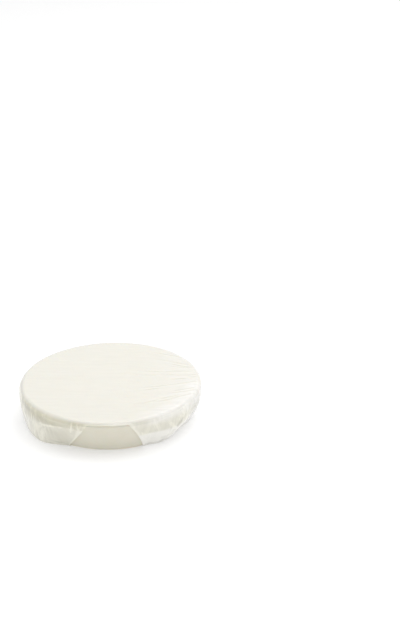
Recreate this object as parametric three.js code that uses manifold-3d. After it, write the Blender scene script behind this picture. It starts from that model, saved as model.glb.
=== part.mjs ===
// A round cake of shaving soap in its clear shrink film sleeve.
// Millimetres, +Z up. The origin is on the cake's axis, in the flat plane that the film rests on.
// The cake is a shallow cone frustum, wider at the top. The film is a tube whose axis runs along Y,
// shrunk over the cake: it covers the top, both sides and the underside, and its two open ends
// leave a bare window at the front (-Y) and at the back (+Y).

import * as THREE from "three";
import { mergeVertices } from "three/addons/utils/BufferGeometryUtils.js";
import Module from "manifold-3d";

const wasm = await Module();
wasm.setup();

// The cake
const RIM_RADIUS = 44;
const BASE_RADIUS = 36;
const CAKE_HEIGHT = 18.6;
const RIM_ROUND = 2.4;
const BASE_ROUND = 1.2;

// The film. Real film is about 0.05 thick: this is its outer shape, with a sturdier wall.
const FILM_WALL = 0.3;
const CLEARANCE = 0.3;
const FILM_RIM_ROUND = 2.6;
const FILM_FOOT_ROUND = 0.8;
const SIDE_SLACK = 0.4; // how far the film stands off the rim at the sides, between the windows
const WALL_BULGE = 1.1; // how strongly the loose wall bellies out between the rim and the foot

// How far the film's lower edge hangs outside the cake's base. It is tight on the cake beside the
// windows. Each step runs between two angles, in degrees away from -Y or +Y, towards the side.
const LEFT_FLARES = [{ from: 28, to: 54, reach: 5.9 }];
const RIGHT_FLARES = [{ from: 28, to: 45, reach: 1 }, { from: 60, to: 86, reach: 2.2 }];
const TIGHT_TO = 28;
const LOOSE_FROM = 54;

// The windows, seen along Y: where their sides meet the rim and the foot, and how far the sides bow
const FRONT_WINDOW = { side: -1, rimLeft: -9.4, rimRight: 10.4, footLeft: -19.1, footRight: 16.2, bow: 1 };
const BACK_WINDOW = { side: 1, rimLeft: -10, rimRight: 10, footLeft: -18, footRight: 18, bow: 0.6 };
const WINDOW_BELOW_RIM = 1.4;
const WINDOW_UNDER_REACH = 4.5; // how far a window's edge curves in under the cake
const CUTTER_MARGIN = 1; // how far a cutter runs past the face that it cuts

const CAKE_SEGMENTS = 96;
const FILM_SEGMENTS = 120;
const ARC_STEPS = 5;
const WALL_STEPS = 5;
const MERGE_DISTANCE = 1e-4;

const cakeBottom = FILM_WALL + CLEARANCE;
const cakeTop = cakeBottom + CAKE_HEIGHT;
const filmTop = cakeTop + CLEARANCE + FILM_WALL;
const filmRimRadius = RIM_RADIUS + CLEARANCE + FILM_WALL;
const filmFootRadius = BASE_RADIUS + CLEARANCE + FILM_WALL;

const cakeMaterial = new THREE.MeshStandardMaterial({
  name: "soap",
  color: 0xf3efe2,
  roughness: 0.55,
  metalness: 0,
});

const filmMaterial = new THREE.MeshStandardMaterial({
  name: "clear_film",
  color: 0xf4f6f4,
  roughness: 0.15,
  metalness: 0,
  transparent: true,
  opacity: 0.3,
});

// A quarter round for a lathe outline, from its lower or outer end, about the given centre.
function quarterRound(centreRadius, centreZ, round, startDegrees) {
  return Array.from({ length: ARC_STEPS + 1 }, (_, step) => {
    const angle = THREE.MathUtils.degToRad(startDegrees + (90 * step) / ARC_STEPS);
    return new THREE.Vector2(
      centreRadius + round * Math.cos(angle),
      centreZ + round * Math.sin(angle),
    );
  });
}

// A frustum with a rounded foot and rim, standing on Z, as a closed lathe geometry.
function frustumGeometry({ footRadius, rimRadius, bottom, top, footRound, rimRound }, segments, wallSteps) {
  const foot = quarterRound(footRadius - footRound, bottom + footRound, footRound, -90);
  const rim = quarterRound(rimRadius - rimRound, top - rimRound, rimRound, 0);
  const wall = Array.from({ length: wallSteps - 1 }, (_, step) =>
    foot.at(-1).clone().lerp(rim[0], (step + 1) / wallSteps));
  const outline = [new THREE.Vector2(0, bottom), ...foot, ...wall, ...rim, new THREE.Vector2(0, top)];
  return new THREE.LatheGeometry(outline, segments).rotateX(Math.PI / 2);
}

// A closed geometry as a solid that can be joined and cut.
function solidFrom(geometry) {
  const bare = geometry.clone();
  bare.deleteAttribute("normal");
  bare.deleteAttribute("uv");
  const merged = mergeVertices(bare, MERGE_DISTANCE);
  return new wasm.Manifold(new wasm.Mesh({
    numProp: 3,
    vertProperties: merged.attributes.position.array,
    triVerts: new Uint32Array(merged.index.array),
  }));
}

// A solid as a geometry that a mesh can show.
function geometryFrom(solid) {
  const mesh = solid.getMesh();
  const geometry = new THREE.BufferGeometry();
  geometry.setAttribute("position", new THREE.BufferAttribute(mesh.vertProperties, 3));
  geometry.setIndex(new THREE.BufferAttribute(mesh.triVerts, 1));
  geometry.computeVertexNormals();
  return geometry;
}

function smoothstep(from, to, value) {
  return THREE.MathUtils.smoothstep(value, from, to);
}

// How many degrees an angle round the cake is from the middle of the nearer window.
function fromWindow(degrees) {
  return Math.abs(Math.abs(degrees) - 90);
}

// How far the film's foot hangs outside the cake's base, at an angle round the cake.
function flareAt(degrees) {
  const flares = Math.abs(degrees) > 90 ? LEFT_FLARES : RIGHT_FLARES;
  return flares.reduce((sum, { from, to, reach }) => sum + reach * smoothstep(from, to, fromWindow(degrees)), 0);
}

// How many times wider than a plain frustum the film is, at an angle and a height.
function filmSpread(degrees, z) {
  const loose = smoothstep(TIGHT_TO, LOOSE_FROM, fromWindow(degrees));
  const wallTop = filmTop - FILM_RIM_ROUND;
  const up = THREE.MathUtils.clamp((z - FILM_FOOT_ROUND) / (wallTop - FILM_FOOT_ROUND), 0, 1);
  const share = up + WALL_BULGE * loose * up * (1 - up);
  const wanted = THREE.MathUtils.lerp(
    filmFootRadius + flareAt(degrees),
    filmRimRadius + SIDE_SLACK * loose,
    share,
  );
  return wanted / THREE.MathUtils.lerp(filmFootRadius, filmRimRadius, up);
}

// The film's outer surface, or its inner one when inset by the wall's thickness.
function filmSurface(inset) {
  const geometry = frustumGeometry({
    footRadius: filmFootRadius - inset,
    rimRadius: filmRimRadius - inset,
    bottom: inset,
    top: filmTop - inset,
    footRound: FILM_FOOT_ROUND - inset,
    rimRound: FILM_RIM_ROUND - inset,
  }, FILM_SEGMENTS, WALL_STEPS);
  const position = geometry.attributes.position;
  for (let index = 0; index < position.count; index += 1) {
    const x = position.getX(index);
    const y = position.getY(index);
    const spread = filmSpread(THREE.MathUtils.radToDeg(Math.atan2(y, x)), position.getZ(index));
    position.setXY(index, x * spread, y * spread);
  }
  return geometry;
}

// Everything a window takes away: an opening in the wall, and a shallow bay in the underside.
function windowCutter({ side, rimLeft, rimRight, footLeft, footRight, bow }) {
  const rimZ = cakeTop - WINDOW_BELOW_RIM;
  const footZ = -CUTTER_MARGIN;
  const halfFoot = (footRight - footLeft) / 2;
  const chordDepth = Math.sqrt(BASE_RADIUS ** 2 - halfFoot ** 2);
  const reachOut = filmRimRadius + CUTTER_MARGIN;

  const opening = new THREE.Shape();
  opening.moveTo(footLeft, footZ);
  opening.lineTo(footRight, footZ);
  opening.quadraticCurveTo((footRight + rimRight) / 2 + 2 * bow, (footZ + rimZ) / 2, rimRight, rimZ);
  opening.lineTo(rimLeft, rimZ);
  const wallPart = new THREE.ExtrudeGeometry(opening, { depth: reachOut - chordDepth, bevelEnabled: false });
  wallPart.rotateX(Math.PI / 2);
  wallPart.translate(0, side > 0 ? reachOut : -chordDepth, 0);

  const bay = new THREE.Shape();
  bay.absellipse((footLeft + footRight) / 2, side * chordDepth, halfFoot, WINDOW_UNDER_REACH, 0, 2 * Math.PI);
  const underPart = new THREE.ExtrudeGeometry(bay, { depth: 2 * CUTTER_MARGIN, bevelEnabled: false });
  underPart.translate(0, 0, footZ);

  return solidFrom(wallPart).add(solidFrom(underPart));
}

function soapCake() {
  const geometry = frustumGeometry({
    footRadius: BASE_RADIUS,
    rimRadius: RIM_RADIUS,
    bottom: cakeBottom,
    top: cakeTop,
    footRound: BASE_ROUND,
    rimRound: RIM_ROUND,
  }, CAKE_SEGMENTS, 1);
  return new THREE.Mesh(geometry, cakeMaterial);
}

function shrinkFilm() {
  const shell = solidFrom(filmSurface(0))
    .subtract(solidFrom(filmSurface(FILM_WALL)))
    .subtract(windowCutter(FRONT_WINDOW))
    .subtract(windowCutter(BACK_WINDOW));
  return new THREE.Mesh(geometryFrom(shell), filmMaterial);
}

const pieces = {
  soap_cake: soapCake(),
  shrink_film: shrinkFilm(),
};

const puck = new THREE.Group();
for (const [name, mesh] of Object.entries(pieces)) {
  mesh.name = name;
  puck.add(mesh);
}

export default puck;
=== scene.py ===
"""A round cake of cream shaving soap in a clear shrink film sleeve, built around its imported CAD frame.

The film is a tube of film whose axis runs along Y, shrunk over the cake. Lengths in the shape
functions are in millimetres, in the frame's own axes; meshes are made in metres.
"""
import math

import bpy
import numpy as np
from mathutils import Matrix, Vector


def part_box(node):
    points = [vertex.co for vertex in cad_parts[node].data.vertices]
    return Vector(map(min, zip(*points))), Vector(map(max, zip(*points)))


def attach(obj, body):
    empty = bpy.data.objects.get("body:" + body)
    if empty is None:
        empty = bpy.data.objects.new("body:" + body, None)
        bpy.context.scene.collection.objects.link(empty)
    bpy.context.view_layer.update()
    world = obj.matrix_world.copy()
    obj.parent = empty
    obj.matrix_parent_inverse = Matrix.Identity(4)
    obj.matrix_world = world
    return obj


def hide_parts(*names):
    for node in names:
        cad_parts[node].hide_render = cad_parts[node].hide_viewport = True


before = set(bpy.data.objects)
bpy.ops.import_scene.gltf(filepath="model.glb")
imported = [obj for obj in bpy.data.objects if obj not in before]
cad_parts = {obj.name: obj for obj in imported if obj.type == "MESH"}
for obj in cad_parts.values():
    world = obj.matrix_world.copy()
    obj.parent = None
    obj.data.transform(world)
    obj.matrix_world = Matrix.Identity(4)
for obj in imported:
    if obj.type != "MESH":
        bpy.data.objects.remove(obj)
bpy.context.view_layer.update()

MM = 0.001

# ---------------------------------------------------------------- sizes from the frame
cake_low, cake_high = (np.array(corner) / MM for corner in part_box("soap_cake"))
film_low = np.array(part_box("shrink_film")[0]) / MM

CAD_BASE_RADIUS, CAD_RIM_RADIUS = 36, 44
RIM_RADIUS = float(cake_high[0])
BASE_RADIUS = RIM_RADIUS * CAD_BASE_RADIUS / CAD_RIM_RADIUS
FLOOR_Z = float(film_low[2])
# The CAD film's wall is thicker than real film, so the cake rests nearer the floor here.
CAKE_BOTTOM = FLOOR_Z + 0.18
CAKE_TOP = CAKE_BOTTOM + float(cake_high[2] - cake_low[2])

CAKE_RIM_ROUND, CAKE_FOOT_ROUND = 2.4, 0.8
CAKE_SEGMENTS = 240
CAKE_MIDDLE = 0.6  # radius of the smallest ring, round the middle of the top and of the underside

# ---------------------------------------------------------------- the film's shape
FILM_GAP = 0.16  # from the cake to the smooth film, on the top and at the rim
FILM_TOP = CAKE_TOP + FILM_GAP
FILM_BOTTOM = FLOOR_Z + 0.04
FILM_RIM = RIM_RADIUS + FILM_GAP
FILM_FOOT = BASE_RADIUS + 0.3
SIDE_SLACK = 0.1  # how far the film stands off the rim at the sides, between the windows
WALL_BULGE = 1.1  # how strongly the loose wall bellies out between the rim and the foot
# How far the film's foot hangs outside the cake's base. Each step runs between two angles, in
# degrees away from -Y or +Y, towards the side.
LEFT_FLARES = ((28, 54, 5.9),)
RIGHT_FLARES = ((30, 40, 1.5), (48, 58, -1.1), (62, 86, 2.7))
TIGHT_TO, LOOSE_FROM = 28, 54
RIM_ROUND = 2.5
FOOT_ROUND = 0.7
FRONT_WINDOW = dict(side=-1, rim=(-9.4, 10.4), foot=(-19.1, 16.2), bow=1.0, rim_z=CAKE_TOP - 1.4)
BACK_WINDOW = dict(side=1, rim=(-10.0, 10.0), foot=(-18.0, 18.0), bow=0.6, rim_z=CAKE_TOP - 1.4)
WINDOW_UNDER_REACH = 4.5  # how far a window's edge curves in under the cake
CAKE_CLEAR = 0.13  # the least distance from the cake to the settled film
CREASE_FOCUS = (78.0, 4.0)  # where the creases on the top would meet, beyond the right side
# Folds in the front wall: from (x, z), to (x, z), height, width, how much milkier they are.
FRONT_FOLDS = (
    ((-16.6, 17.5), (-17.5, 11.0), 0.4, 0.45, 0.5),
    ((-14.0, 17.0), (-13.6, 12.5), 0.35, 0.5, 0.5),
    ((-12.4, 16.8), (-14.8, 9.0), 0.3, 0.6, 0.35),
    ((-33.0, 11.5), (-20.0, 13.5), 0.25, 0.6, 0.4),
    ((-35.0, 10.5), (-36.0, 1.5), 0.7, 0.7, 0.2),
    ((-39.0, 8.0), (-39.0, 1.0), 0.5, 0.7, 0.2),
    ((-31.0, 9.5), (-32.0, 1.5), 0.4, 0.6, 0.2),
    ((-29.0, 2.6), (-21.0, 1.8), 0.35, 0.5, -0.2),
    ((16.0, 10.5), (18.2, 5.0), 0.45, 0.5, 0.4),
    ((18.2, 5.0), (19.6, 8.6), 0.35, 0.5, 0.3),
    ((20.0, 2.6), (25.5, 1.6), 0.4, 0.5, -0.2),
    ((28.0, 14.5), (33.5, 4.5), 0.6, 0.8, 0.0),
    ((22.0, 17.0), (24.0, 9.0), 0.3, 0.6, 0.1),
    ((36.6, 12.8), (31.2, 6.4), 0.2, 0.9, -0.34),
)

AROUND, ALONG = 300, 280  # the film's points round the tube, and from its front edge to its back
SETTLE_ROUNDS = 140


def smooth(low, high, value):
    """0 up to low, 1 from high on, and an even S between them."""
    share = np.clip((value - low) / (high - low), 0.0, 1.0)
    return share * share * (3 - 2 * share)


def lattice_noise(x, y, seed):
    """Smooth noise from -1 to 1 over the plane, with one random value for each whole-number point."""
    table = np.random.default_rng(seed).uniform(-1, 1, (256, 256))
    column, row = np.floor(x).astype(int), np.floor(y).astype(int)
    across, up = x - column, y - row
    across = across * across * (3 - 2 * across)
    up = up * up * (3 - 2 * up)

    def corner(step_x, step_y):
        return table[(column + step_x) % 256, (row + step_y) % 256]

    low = corner(0, 0) * (1 - across) + corner(1, 0) * across
    high = corner(0, 1) * (1 - across) + corner(1, 1) * across
    return low * (1 - up) + high * up


def mesh_object(name, vertices_mm, faces, material):
    """A smooth-shaded piece at the origin, with its place in its mesh."""
    mesh = bpy.data.meshes.new(name)
    mesh.from_pydata((np.asarray(vertices_mm) * MM).tolist(), [], faces)
    mesh.update()
    mesh.polygons.foreach_set("use_smooth", [True] * len(mesh.polygons))
    mesh.materials.append(material)
    piece = bpy.data.objects.new(name, mesh)
    bpy.context.collection.objects.link(piece)
    return piece


# ---------------------------------------------------------------- the film's surface
def from_window(degrees):
    """How many degrees an angle round the cake is from the middle of the nearer window."""
    return np.abs(np.abs(degrees) - 90)


def loose_at(degrees):
    """0 beside the windows, where the film is tight on the cake, and 1 where it hangs clear of it."""
    return smooth(TIGHT_TO, LOOSE_FROM, from_window(degrees))


def flare_at(degrees):
    """How far the film's foot hangs outside the cake's base."""
    left = sum(reach * smooth(start, end, from_window(degrees)) for start, end, reach in LEFT_FLARES)
    right = sum(reach * smooth(start, end, from_window(degrees)) for start, end, reach in RIGHT_FLARES)
    return np.where(np.abs(degrees) > 90, left, right)


def film_wall_radius(degrees, z):
    """How far the smooth film's wall is from the cake's axis, at an angle and a height."""
    loose = loose_at(degrees)
    wall_low, wall_high = FILM_BOTTOM + FOOT_ROUND, FILM_TOP - RIM_ROUND
    up = np.clip((z - wall_low) / (wall_high - wall_low), 0, 1)
    share = up + WALL_BULGE * loose * up * (1 - up)
    foot = FILM_FOOT + flare_at(degrees)
    return foot + (FILM_RIM + SIDE_SLACK * loose - foot) * share


def outside_rounded(point, wall_radius, bottom, top, foot_round, rim_round):
    """How far a point is outside a round body with a rounded foot and rim, below 0 inside it."""
    x, y, z = point
    height = top - bottom
    up = np.clip((z - bottom) / height, 0, 1)
    corner = foot_round + (rim_round - foot_round) * smooth(0.3, 0.7, up)
    out = np.hypot(x, y) - (wall_radius - corner)
    above = np.abs(z - (top + bottom) / 2) - (height / 2 - corner)
    beyond = np.hypot(np.maximum(out, 0), np.maximum(above, 0))
    return beyond + np.minimum(np.maximum(out, above), 0) - corner


def outside_film(point):
    """How far a point is outside the smooth film."""
    x, y, z = point
    radius = film_wall_radius(np.degrees(np.arctan2(y, x)), z)
    return outside_rounded(point, radius, FILM_BOTTOM, FILM_TOP, FOOT_ROUND, RIM_ROUND)


def outside_cake(point):
    """How far a point is outside the cake."""
    wall_low, wall_high = CAKE_BOTTOM + CAKE_FOOT_ROUND, CAKE_TOP - CAKE_RIM_ROUND
    up = np.clip((point[2] - wall_low) / (wall_high - wall_low), 0, 1)
    radius = BASE_RADIUS + (RIM_RADIUS - BASE_RADIUS) * up
    return outside_rounded(point, radius, CAKE_BOTTOM, CAKE_TOP, CAKE_FOOT_ROUND, CAKE_RIM_ROUND)


TUBE_CENTRE = np.array([0.0, 0.0, (FILM_TOP + FILM_BOTTOM) / 2])


def film_point(turn, tilt):
    """The film's surface in one direction: turn goes round the tube's axis, tilt away from -Y."""
    direction = np.array([np.sin(tilt) * np.cos(turn), -np.cos(tilt), np.sin(tilt) * np.sin(turn)])
    near = np.zeros_like(tilt)
    far = np.full_like(tilt, 70.0)  # well outside the film
    for _ in range(30):
        middle = (near + far) / 2
        point = TUBE_CENTRE[:, None] + direction * middle.reshape(1, -1)
        inside = outside_film(point) < 0
        near = np.where(inside, middle, near)
        far = np.where(inside, far, middle)
    return TUBE_CENTRE[:, None] + direction * near


def window_edge(side, rim, foot, bow, rim_z, samples=240):
    """The tilt of the film's cut edge from its end of the tube's axis, for every turn."""
    half_foot = (foot[1] - foot[0]) / 2
    depth = math.sqrt(BASE_RADIUS**2 - half_foot**2)
    share = np.linspace(0, 1, samples)
    points = []

    def on_wall(x, z):
        radius = RIM_RADIUS * np.ones_like(x)
        for _ in range(8):
            y = side * np.sqrt(np.maximum(radius**2 - x**2, 0))
            radius = film_wall_radius(np.degrees(np.arctan2(y, x)), z)
        return np.stack([x, side * np.sqrt(np.maximum(radius**2 - x**2, 0)), z], -1)

    points.append(on_wall(rim[0] + (rim[1] - rim[0]) * share, np.full(samples, rim_z)))
    bowed = 4 * bow * share * (1 - share)
    down_z = rim_z + (FILM_BOTTOM - rim_z) * share
    points.append(on_wall(rim[1] + (foot[1] - rim[1]) * share + bowed, down_z))
    angle = np.pi * share
    bay_x = (foot[0] + foot[1]) / 2 + half_foot * np.cos(angle)
    bay_y = side * (depth - WINDOW_UNDER_REACH * np.sin(angle))
    points.append(np.stack([bay_x, bay_y, np.full(samples, FILM_BOTTOM)], -1))
    up_z = FILM_BOTTOM + (rim_z - FILM_BOTTOM) * share
    points.append(on_wall(foot[0] + (rim[0] - foot[0]) * share, up_z))
    loop = np.concatenate(points) - TUBE_CENTRE
    turn = np.arctan2(loop[:, 2], loop[:, 0]) % (2 * np.pi)
    tilt = np.arccos(np.clip(side * loop[:, 1] / np.linalg.norm(loop, axis=1), -1, 1))
    order = np.argsort(turn)
    return turn[order], tilt[order]


def edge_tilt(window, turns):
    """The tilt of a window's cut edge at the given turns, with its corners a little rounded."""
    turn, tilt = window_edge(**window)
    steps = np.linspace(0, 2 * np.pi, 721)[:-1]
    values = np.interp(steps, turn, tilt, period=2 * np.pi)
    width = 7
    kernel = np.hanning(2 * width + 1)
    kernel /= kernel.sum()
    padded = np.concatenate([values[-width:], values, values[:width]])
    return np.interp(turns, steps, np.convolve(padded, kernel, "valid"), period=2 * np.pi)


def even_turns(count):
    """Angles round the tube that are evenly spaced along its middle section."""
    fine = np.linspace(0, 2 * np.pi, 4001)
    section = film_point(fine, np.full_like(fine, np.pi / 2))
    length = np.concatenate([[0], np.cumsum(np.linalg.norm(np.diff(section, axis=1), axis=0))])
    return np.interp(np.linspace(0, length[-1], count + 1)[:-1], length, fine)


def film_grid():
    """The smooth film as an (AROUND, ALONG, 3) grid: round the tube, then from front edge to back."""
    turns = even_turns(AROUND)
    front = edge_tilt(FRONT_WINDOW, turns)
    back = np.pi - edge_tilt(BACK_WINDOW, turns)
    fine = 700
    share = np.linspace(0, 1, fine)
    tilt = front[:, None] + (back - front)[:, None] * share
    turn = np.repeat(turns[:, None], fine, axis=1)
    points = film_point(turn.ravel(), tilt.ravel()).T.reshape(AROUND, fine, 3)
    step = np.linalg.norm(np.diff(points, axis=1), axis=2)
    length = np.concatenate([np.zeros((AROUND, 1)), np.cumsum(step, axis=1)], axis=1)
    grid = np.empty((AROUND, ALONG, 3))
    for index in range(AROUND):
        wanted = np.linspace(0, length[index, -1], ALONG)
        for axis in range(3):
            grid[index, :, axis] = np.interp(wanted, length[index], points[index, :, axis])
    return grid


def grid_normals(grid):
    """Unit normals of a film grid, pointing outwards."""
    around = np.roll(grid, -1, axis=0) - np.roll(grid, 1, axis=0)
    along = np.gradient(grid, axis=1)
    normal = np.cross(around, along)
    normal /= np.linalg.norm(normal, axis=2, keepdims=True)
    outward = np.sum(normal * (grid - TUBE_CENTRE), axis=2).mean()
    return normal if outward > 0 else -normal


def grid_faces(around, along):
    """Four-sided faces of a film grid, which is closed round the tube and open at its ends."""
    faces = []
    for i in range(around):
        j = (i + 1) % around
        for k in range(along - 1):
            faces.append((i * along + k, i * along + k + 1, j * along + k + 1, j * along + k))
    return faces


def top_share(grid):
    """1 on the flat top, 0 from the rim down."""
    return smooth(FILM_TOP - 1.6, FILM_TOP - 0.3, grid[..., 2])


def below_rim(z):
    """0 at the windows' upper edges, where the film clings to the rim, and 1 further down."""
    return 1 - smooth(CAKE_TOP - 4.5, CAKE_TOP - 2.5, z)


def edge_distance(grid):
    """How far along the tube each point is from the nearer cut edge."""
    step = np.linalg.norm(np.diff(grid, axis=1), axis=2)
    length = np.concatenate([np.zeros((len(grid), 1)), np.cumsum(step, axis=1)], axis=1)
    return np.minimum(length, length[:, -1:] - length)


def ridge_line(grid, start, end, height, width, *_):
    """A raised fold on the front wall, from one (x, z) to another."""
    x, z = grid[..., 0], grid[..., 2]
    run, rise = end[0] - start[0], end[1] - start[1]
    share = np.clip(((x - start[0]) * run + (z - start[1]) * rise) / (run**2 + rise**2), 0, 1)
    distance = np.hypot(x - start[0] - run * share, z - start[1] - rise * share)
    front = (grid[..., 1] < 0) * (1 - top_share(grid))
    return height * np.exp(-((distance / width) ** 2)) * (0.35 + 0.65 * np.sin(np.pi * share)) * front


def start_shape(grid):
    """The smooth film with the first trace of its wrinkles, for the settling to work on."""
    x, y, z = grid[..., 0], grid[..., 1], grid[..., 2]
    top = top_share(grid)
    meet_x, meet_y = CREASE_FOCUS
    fan = np.arctan2(y - meet_y, meet_x - x) * 62
    reach = np.hypot(y - meet_y, meet_x - x)
    fine = lattice_noise(reach / 15, fan / 2.4 + 0.4 * lattice_noise(x / 9, y / 5, 8), 3)
    coarse = lattice_noise(reach / 26 + 9, fan / 3.6, 4)
    ripple = lattice_noise(x / 9 + 3, y / 1.5 + 0.06 * x, 15)
    on_top = np.maximum(0, fine) ** 1.5 * 0.13 + np.maximum(0, coarse - 0.1) ** 1.5 * 0.3
    on_top *= 0.5 + 1.6 * smooth(-5, 34, x) + 0.5 * (1 - smooth(-38, -15, x))
    on_top += 0.014 * np.maximum(0, ripple)

    degrees = np.degrees(np.arctan2(y, x))
    loose = loose_at(degrees)
    lean = degrees * 0.75 + z * 1.4 * lattice_noise(degrees / 14, z / 11, 12)
    upright = lattice_noise(lean / 3.1, z / 13 + 4, 6)
    broad = lattice_noise(lean / 9.0, z / 16 + 2, 7)
    on_wall = (0.25 + loose) * (0.16 * upright * (1 - 0.8 * smooth(12, 17, z)) + 0.27 * broad)
    on_wall += loose * 0.16 * lattice_noise(degrees / 20, z / 1.9, 5)
    for fold in FRONT_FOLDS:
        on_wall = on_wall + ridge_line(grid, *fold)
    wall = smooth(FILM_BOTTOM, FILM_BOTTOM + 1.5, z) * (1 - top)
    curl = 0.35 * np.exp(-((edge_distance(grid) / 0.9) ** 2)) * below_rim(z)
    return grid + grid_normals(grid) * (top * on_top + wall * (on_wall + curl))[..., None]


def settled(grid, rounds):
    """A small cloth simulation: the film, a little longer than its smooth shape, settles on the cake.

    Every edge pulls towards its own length, the film stays outside the cake and above the floor,
    and a weak pull holds it to its smooth shape. Most of the extra length is along the tube.
    """
    pull_share, shape_pull = 0.16, 0.004
    place = start_shape(grid)
    top = top_share(grid)
    degrees = np.degrees(np.arctan2(grid[..., 1], grid[..., 0]))
    slack = 0.004 + top * 0.010 * smooth(-10, 36, grid[..., 0])
    slack += (1 - top) * (0.006 + 0.022 * loose_at(degrees))

    def near(values, step_along):
        return values[:, : values.shape[1] - step_along]

    def far(values, step_around, step_along):
        return np.roll(values, -step_around, axis=0)[:, step_along:]

    # each family of edges: steps round and along to the other end, stiffness, its share of the slack
    families = []
    for step_around, step_along, stiffness, share in (
        (0, 1, 1.0, 1.0),
        (1, 0, 1.0, 0.1),
        (1, 1, 0.4, 0.5),
        (-1, 1, 0.4, 0.5),
        (0, 4, 0.5, 0.55),
        (3, 0, 0.5, 0.1),
    ):
        smooth_edge = far(grid, step_around, step_along) - near(grid, step_along)
        rest = np.linalg.norm(smooth_edge, axis=2) * (1 + share * near(slack, step_along))
        families.append((step_around, step_along, stiffness, rest))

    for _ in range(rounds):
        move = np.zeros_like(place)
        for step_around, step_along, stiffness, rest in families:
            gap = far(place, step_around, step_along) - near(place, step_along)
            length = np.linalg.norm(gap, axis=2)
            pull = gap * (stiffness * pull_share * (1 - rest / length))[..., None]
            count = pull.shape[1]
            move[:, :count] += pull
            move[:, step_along:] -= np.roll(pull, step_around, axis=0)
        move += (grid - place) * shape_pull
        place += move
        inside = CAKE_CLEAR - outside_cake(np.moveaxis(place, 2, 0))
        place += grid_normals(grid) * np.maximum(inside, 0)[..., None]
        place[..., 2] = np.maximum(place[..., 2], FILM_BOTTOM)
    return place


def store_on_points(piece, name, values):
    """Keeps one number for each point of a piece, for its material to read."""
    layer = piece.data.attributes.new(name, "FLOAT", "POINT")
    layer.data.foreach_set("value", np.ravel(values).astype(np.float32))


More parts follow.
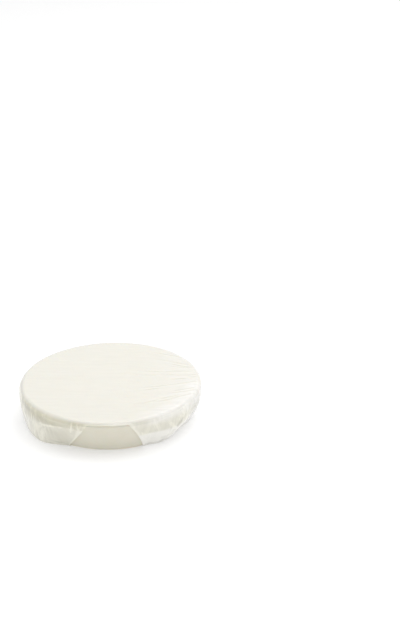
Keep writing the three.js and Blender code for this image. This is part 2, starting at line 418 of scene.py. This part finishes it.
def film_look(smooth_grid, grid):
    """How milky the film is, how warm its haze is, and how much it shines, at each point.

    It follows where the film lies on the cake, how far it stands off, and how it bends and folds, with
    painted shade in the crease valleys and a painted highlight along the rim.
    """
    x, y, z = smooth_grid[..., 0], smooth_grid[..., 1], smooth_grid[..., 2]
    height = z - CAKE_BOTTOM
    degrees = np.degrees(np.arctan2(y, x))
    radius = np.hypot(x, y)
    top = top_share(smooth_grid)
    loose = loose_at(degrees)
    side = smooth(-6, 6, x)

    # the top: an even haze, a little milkier towards the right
    streaks = 0.5 + 0.5 * lattice_noise(x / 8, y / 1.1 + 0.05 * x, 21)
    on_top = 0.40 + 0.02 * streaks + 0.10 * smooth(12, 38, x)

    # the left of the wall: milkier where it stands off the cake, at the far left, and below a line
    stand_off = outside_cake(np.moveaxis(smooth_grid, 2, 0))
    line = 9.0 + 4.0 * smooth(-42, -34, x) + smooth(-27, -16, x) + 0.5 * lattice_noise(x / 4, 0.5 * x, 24)
    below_line = 1 - smooth(line - 1.6, line + 1.9, height)
    cloud = 0.5 + 0.5 * lattice_noise(degrees / 5, height / 4, 22)
    pleats = lattice_noise(degrees / 1.3, height / 9, 23)
    left = 0.43 + 0.32 * smooth(0.5, 3.4, stand_off)
    left = np.maximum(left, 0.9 * smooth(-40.5, -43.2, x))
    left = np.maximum(left, (0.64 + 0.15 * cloud) * below_line) + 0.10 * loose * pleats

    # the right of the wall: milkier in a band and low down, and clearer at the far right
    band = smooth(3.5, 5, height) * (1 - smooth(7.5, 9.5, height)) * (1 - smooth(26, 34, x))
    right = 0.74 + 0.21 * band + 0.10 * loose * smooth(50, 80, from_window(degrees))
    right *= 1 - 0.55 * smooth(36, 43, x)
    low = (1 - smooth(4.0, 6.0, height)) * (0.72 + 0.28 * smooth(0.8, 2.4, height))
    low *= 1 - 0.2 * smooth(22, 27, x)
    right = np.maximum(right, low) + 0.06 * pleats

    # the windows' cut edges are milkier, most of all their upper edges, under the rim
    cut_edge = edge_distance(smooth_grid)
    on_wall = left * (1 - side) + right * side + 0.35 * np.exp(-((cut_edge / 0.8) ** 2)) * below_rim(z)
    on_wall += 0.5 * np.exp(-((cut_edge / 1.6) ** 2)) * (1 - below_rim(z))

    # film bunched at the rim, from the front round to the right, made milkier and whiter: partly the
    # bunched film's own haze, partly a painted highlight along the rim
    bunched_and_rim_highlight = smooth(RIM_RADIUS - 9, RIM_RADIUS - 3, radius) * smooth(-80, -50, degrees)
    bunched_and_rim_highlight *= 1 - smooth(-8, 4, degrees)
    bunched_and_rim_highlight *= smooth(CAKE_TOP - 6, CAKE_TOP - 2, z) * (0.6 + 0.4 * streaks)

    # milkier where it bends sharply, stands off its smooth shape, or folds on the front wall
    bend = np.zeros_like(x)
    bend[:, 1:-1] = np.linalg.norm(grid[:, 2:] - 2 * grid[:, 1:-1] + grid[:, :-2], axis=2)
    lift = np.sum((grid - smooth_grid) * grid_normals(smooth_grid), axis=2)
    creased = (1.6 * bend + 0.3 * smooth(0.12, 0.5, np.abs(lift))) * (1 - 0.7 * top)
    folds = sum(
        ridge_line(smooth_grid, start, end, milky, width) for start, end, _, width, milky in FRONT_FOLDS
    )
    # the valleys between the creases on the right of the top are clearer and warmer: painted shade,
    # darker lines along the crease valleys
    valley_shade = np.zeros_like(x)
    valley_shade[:, 2:-2] = lift[:, 4:] + lift[:, :-4] - 2 * lift[:, 2:-2]
    valley_shade = smooth(0.02, 0.08, valley_shade) * top * smooth(0, 25, x)

    milk = on_top * top + on_wall * (1 - top)
    # the valley term takes milk away: painted shade in the crease valleys
    milk = milk + 0.20 * bunched_and_rim_highlight + creased + folds - 0.13 * valley_shade
    warmth = 0.7 + 0.3 * (1 - below_line) * (1 - side) - 0.4 * side * (1 - smooth(7.5, 9.5, height))
    # whiter along the bunched rim, part of its painted highlight, and warmer in the crease valleys, part
    # of their painted shade
    warmth = (warmth - 0.4 * bunched_and_rim_highlight - 0.35 * smooth(35, 42, np.abs(x))) * (1 - top) + 0.3 * valley_shade
    shine = 0.10 * np.clip(folds, 0, 1)
    return np.clip(milk, 0, 1), np.clip(warmth, 0, 1), shine


# ---------------------------------------------------------------- materials
def principled(name):
    """A new material and its shader."""
    material = bpy.data.materials.new(name)
    material.use_nodes = True
    return material, material.node_tree.nodes["Principled BSDF"]


def soap_material():
    """Milled soap: a satin cream with soft mottling, fine grain, and a few small pits."""
    material, shader = principled("cream_soap")
    nodes, links = material.node_tree.nodes, material.node_tree.links
    shader.inputs["Subsurface Weight"].default_value = 0.3
    shader.inputs["Subsurface Radius"].default_value = (1.0, 0.7, 0.4)
    shader.inputs["Subsurface Scale"].default_value = 0.002
    shader.inputs["Specular IOR Level"].default_value = 0.4

    place = nodes.new("ShaderNodeTexCoord").outputs["Object"]

    def noise(scale, detail, roughness=0.5):
        made = nodes.new("ShaderNodeTexNoise")
        made.inputs["Scale"].default_value = scale
        made.inputs["Detail"].default_value = detail
        made.inputs["Roughness"].default_value = roughness
        links.new(place, made.inputs["Vector"])
        return made.outputs["Fac"]

    def ramp(source, low, high, first, second):
        made = nodes.new("ShaderNodeMapRange")
        made.inputs["From Min"].default_value = low
        made.inputs["From Max"].default_value = high
        made.inputs["To Min"].default_value = first
        made.inputs["To Max"].default_value = second
        links.new(source, made.inputs["Value"])
        return made.outputs["Result"]

    mottle = nodes.new("ShaderNodeMix")
    mottle.data_type = "RGBA"
    mottle.inputs["A"].default_value = (0.735, 0.705, 0.592, 1)
    mottle.inputs["B"].default_value = (0.765, 0.738, 0.630, 1)
    links.new(ramp(noise(110, 6, 0.65), 0.3, 0.7, 0, 1), mottle.inputs["Factor"])
    links.new(mottle.outputs["Result"], shader.inputs["Base Color"])
    links.new(ramp(noise(900, 3), 0.3, 0.7, 0.42, 0.58), shader.inputs["Roughness"])

    pits = nodes.new("ShaderNodeTexVoronoi")
    pits.inputs["Scale"].default_value = 260
    links.new(place, pits.inputs["Vector"])
    pit_depth = ramp(pits.outputs["Distance"], 0.02, 0.13, 0, 1)
    here = ramp(noise(420, 1), 0.56, 0.60, 1, 0)
    dents = nodes.new("ShaderNodeMath")
    dents.operation = "MAXIMUM"
    links.new(pit_depth, dents.inputs[0])
    links.new(here, dents.inputs[1])

    def bump(height, strength, distance, below=None):
        made = nodes.new("ShaderNodeBump")
        made.inputs["Strength"].default_value = strength
        made.inputs["Distance"].default_value = distance
        links.new(height, made.inputs["Height"])
        if below is not None:
            links.new(below, made.inputs["Normal"])
        return made.outputs["Normal"]

    grain = bump(noise(2600, 3), 0.25, 0.00006)
    links.new(bump(dents.outputs[0], 0.8, 0.00012, grain), shader.inputs["Normal"])
    return material


def film_material():
    """Shrink film: clear where it clings, hazy where it is milky or seen at a slant, and glossy."""
    material = bpy.data.materials.new("clear_film")
    material.use_nodes = True
    nodes, links = material.node_tree.nodes, material.node_tree.links
    nodes.clear()

    def node(kind, **values):
        made = nodes.new(kind)
        for name, value in values.items():
            made.inputs[name].default_value = value
        return made

    def on_points(name):
        made = nodes.new("ShaderNodeAttribute")
        made.attribute_name = name
        return made.outputs["Fac"]

    def math_node(operation, *values):
        made = nodes.new("ShaderNodeMath")
        made.operation = operation
        for socket, value in zip(made.inputs, values):
            if isinstance(value, (int, float)):
                socket.default_value = value
            else:
                links.new(value, socket)
        return made.outputs[0]

    def mix(share, first, second):
        made = nodes.new("ShaderNodeMixShader")
        links.new(share, made.inputs[0])
        links.new(first.outputs[0], made.inputs[1])
        links.new(second.outputs[0], made.inputs[2])
        return made

    facing = node("ShaderNodeLayerWeight", Blend=0.5).outputs["Facing"]
    fold_shine = math_node("ADD", on_points("shine"), 0.035)
    mirror_share = math_node("MULTIPLY_ADD", math_node("POWER", facing, 5.0), 0.7, fold_shine)
    along_film = math_node("MULTIPLY_ADD", math_node("POWER", facing, 3.0), 0.45, 0.02)
    # milk is mostly the film's haze, but also carries a painted highlight along the rim and painted shade
    # in the crease valleys
    haze_share = math_node("MULTIPLY_ADD", on_points("milk"), 0.97, along_film)

    tint = nodes.new("ShaderNodeMix")
    tint.data_type = "RGBA"
    tint.inputs["A"].default_value = (0.98, 0.972, 0.96, 1)
    tint.inputs["B"].default_value = (0.93, 0.905, 0.76, 1)
    # warmth likewise carries the whiter painted rim highlight and the warmer painted shade in the crease
    # valleys
    links.new(on_points("warmth"), tint.inputs["Factor"])
    front = node("ShaderNodeBsdfDiffuse")
    through = node("ShaderNodeBsdfTranslucent")
    for shader in (front, through):
        links.new(tint.outputs["Result"], shader.inputs["Color"])
    haze = node("ShaderNodeMixShader", Fac=0.06)
    links.new(front.outputs[0], haze.inputs[1])
    links.new(through.outputs[0], haze.inputs[2])

    clear = node("ShaderNodeBsdfTransparent", Color=(0.985, 0.99, 0.985, 1))
    gloss = node("ShaderNodeBsdfGlossy", Roughness=0.12)
    surface = mix(mirror_share, mix(haze_share, clear, haze), gloss)
    output = nodes.new("ShaderNodeOutputMaterial")
    links.new(surface.outputs[0], output.inputs["Surface"])
    return material


# ---------------------------------------------------------------- the cake
def arc(centre_radius, centre_z, size, degrees):
    """Points (radius, z) of a round in the cake's outline."""
    return [
        (centre_radius + size * math.cos(angle), centre_z + size * math.sin(angle))
        for angle in np.radians(degrees)
    ]


def straight(start, end, shares):
    """Points (radius, z) of a straight stretch of the cake's outline."""
    return [
        (start[0] + (end[0] - start[0]) * share, start[1] + (end[1] - start[1]) * share)
        for share in shares
    ]


def cake_outline():
    """(radius, z) from near the middle of the underside, out and up, to near the middle of the top."""
    foot_centre = (BASE_RADIUS - CAKE_FOOT_ROUND, CAKE_BOTTOM + CAKE_FOOT_ROUND)
    rim_centre = (RIM_RADIUS - CAKE_RIM_ROUND, CAKE_TOP - CAKE_RIM_ROUND)
    outline = [(radius, CAKE_BOTTOM) for radius in np.linspace(CAKE_MIDDLE, foot_centre[0], 26)]
    outline += arc(*foot_centre, CAKE_FOOT_ROUND, np.linspace(-80, 0, 8))
    outline += straight(outline[-1], (RIM_RADIUS, rim_centre[1]), np.linspace(0, 1, 30)[1:])
    outline += arc(*rim_centre, CAKE_RIM_ROUND, np.linspace(0, 90, 14)[1:])
    outline += [(radius, CAKE_TOP) for radius in np.linspace(rim_centre[0], CAKE_MIDDLE, 50)[1:]]
    return outline


def cake_piece():
    """The cake as rings about its axis, closed by a fan of faces in the underside and in the top."""
    outline = cake_outline()
    angles = np.linspace(0, 2 * np.pi, CAKE_SEGMENTS + 1)[:-1]
    vertices = [(r * math.cos(a), r * math.sin(a), z) for r, z in outline for a in angles]
    bottom, top = len(vertices), len(vertices) + 1
    vertices += [(0, 0, CAKE_BOTTOM), (0, 0, CAKE_TOP)]
    last = (len(outline) - 1) * CAKE_SEGMENTS
    faces = []
    for low in range(0, last, CAKE_SEGMENTS):
        high = low + CAKE_SEGMENTS
        for step in range(CAKE_SEGMENTS):
            following = (step + 1) % CAKE_SEGMENTS
            faces.append((low + step, low + following, high + following, high + step))
    for step in range(CAKE_SEGMENTS):
        following = (step + 1) % CAKE_SEGMENTS
        faces.append((bottom, following, step))
        faces.append((top, last + step, last + following))
    return mesh_object("soap_cake_body", vertices, faces, soap_material())


cake = cake_piece()
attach(cake, "root")
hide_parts("soap_cake")

smooth_film = film_grid()
film_points = settled(smooth_film, SETTLE_ROUNDS)
film = mesh_object("film_sleeve", film_points.reshape(-1, 3), grid_faces(AROUND, ALONG), film_material())
# the milk and warmth numbers include painted shade in the crease valleys and a painted highlight along
# the rim
for name, values in zip(("milk", "warmth", "shine"), film_look(smooth_film, film_points)):
    store_on_points(film, name, values)
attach(film, "root")
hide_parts("shrink_film")


# ---------------------------------------------------------------- floor, light and camera
def floor_piece():
    """A plain white floor. It gives off a little light of its own, like a light table."""
    reach = 3000
    material, shader = principled("pale_floor")
    shader.inputs["Base Color"].default_value = (0.62, 0.62, 0.62, 1)
    shader.inputs["Roughness"].default_value = 0.9
    shader.inputs["Emission Color"].default_value = (1, 1, 1, 1)
    shader.inputs["Emission Strength"].default_value = 0.38
    floor = mesh_object(
        "floor",
        [
            (-reach, -reach, FLOOR_Z),
            (reach, -reach, FLOOR_Z),
            (reach, reach, FLOOR_Z),
            (-reach, reach, FLOOR_Z),
        ],
        [(0, 1, 2, 3)],
        material,
    )


def area_light(name, place, size, watts):
    """A square lamp that faces the puck. Its place and size are in metres."""
    data = bpy.data.lights.new(name, "AREA")
    data.shape = "SQUARE"
    data.size = size
    data.energy = watts
    lamp = bpy.data.objects.new(name, data)
    lamp.location = place
    lamp.rotation_euler = (-Vector(place)).to_track_quat("-Z", "Y").to_euler()
    bpy.context.collection.objects.link(lamp)


floor_piece()
world = bpy.data.worlds.new("studio")
bpy.context.scene.world = world
world.use_nodes = True
world.node_tree.nodes["Background"].inputs["Color"].default_value = (1, 1, 1, 1)
world.node_tree.nodes["Background"].inputs["Strength"].default_value = 0.42
area_light("overhead", (0.20, 0.12, 1.0), 1.4, 12.9)
area_light("side", (0.90, -0.42, 0.18), 0.8, 1.15)
area_light("fill", (-0.9, -0.15, 0.36), 0.8, 1.3)

CAMERA_PITCH = math.radians(24.74)
CAMERA_ROLL = math.radians(-0.71)
CAMERA_PLACE = (1.001, -17.669, 9.430)  # in rim radii, from the middle of the cake's underside
FRAME_HEIGHT = 617
FOCAL_LENGTH = 1790  # in the same units as the frame's height
camera_data = bpy.data.cameras.new("camera")
camera_data.sensor_width = 36
camera_data.lens = FOCAL_LENGTH / FRAME_HEIGHT * camera_data.sensor_width
camera_data.clip_end = 20
camera = bpy.data.objects.new("camera", camera_data)
camera.location = np.array(CAMERA_PLACE) * RIM_RADIUS * MM + np.array([0, 0, CAKE_BOTTOM * MM])
turned = Matrix.Rotation(math.pi / 2 - CAMERA_PITCH, 3, "X") @ Matrix.Rotation(CAMERA_ROLL, 3, "Z")
camera.rotation_euler = turned.to_euler()
bpy.context.collection.objects.link(camera)
bpy.context.scene.camera = camera
bpy.context.scene.view_settings.view_transform = "Standard"
